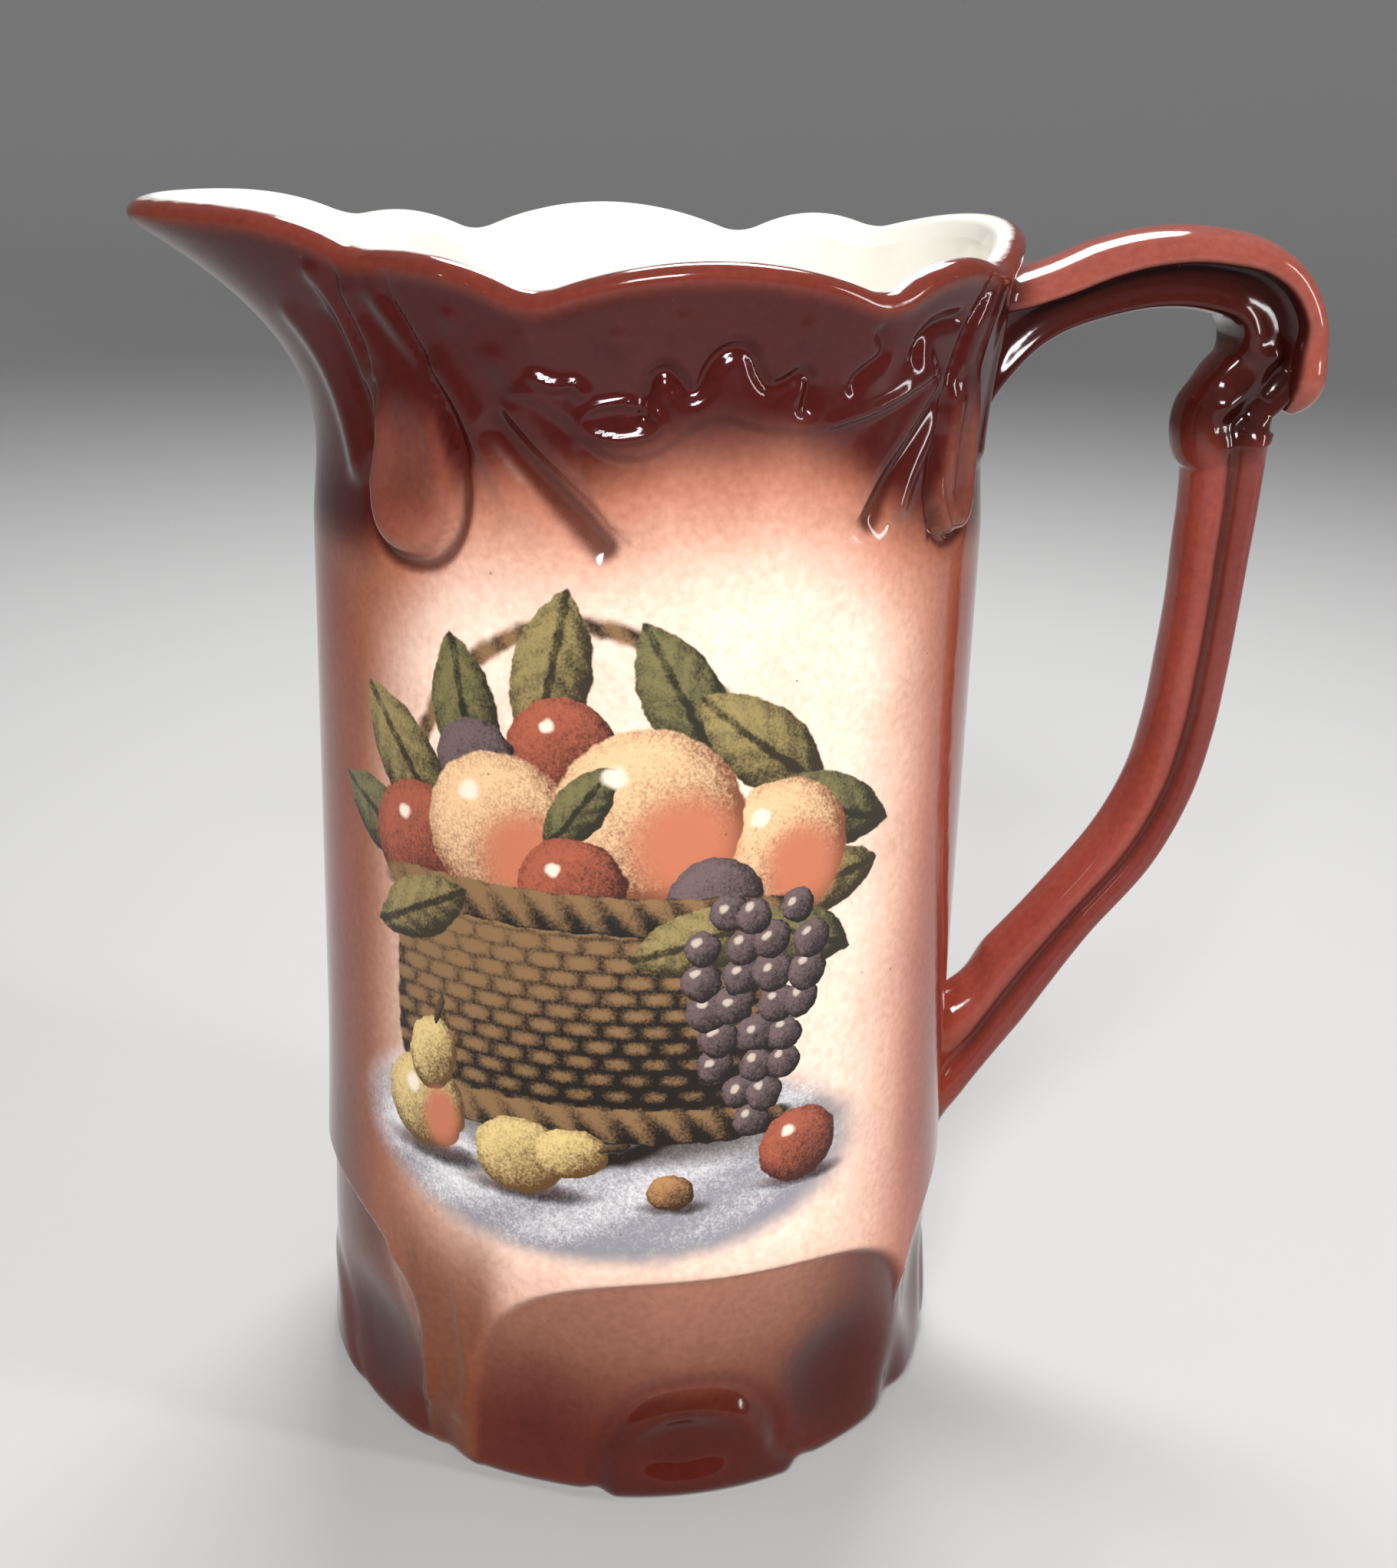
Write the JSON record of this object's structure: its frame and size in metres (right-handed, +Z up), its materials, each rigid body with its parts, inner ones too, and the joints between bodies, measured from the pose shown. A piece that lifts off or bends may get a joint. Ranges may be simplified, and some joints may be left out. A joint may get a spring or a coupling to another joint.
{
  "type": "pitcher",
  "caption": "Tall cylindrical ceramic table jug with a scalloped flaring rim, a pulled spout, a scroll handle and hollowed petals round the foot.",
  "frame": {"origin": "middle of the flat underside, on the table", "axes": "+Z up, +X towards the handle, the spout towards -X, -Y the front"},
  "size_m": [0.1687, 0.0994, 0.1765],
  "materials": {
    "glaze": "glossy glaze over pottery"
  },
  "bodies": {
    "root": {"jug": "glaze"}
  },
  "joints": []
}
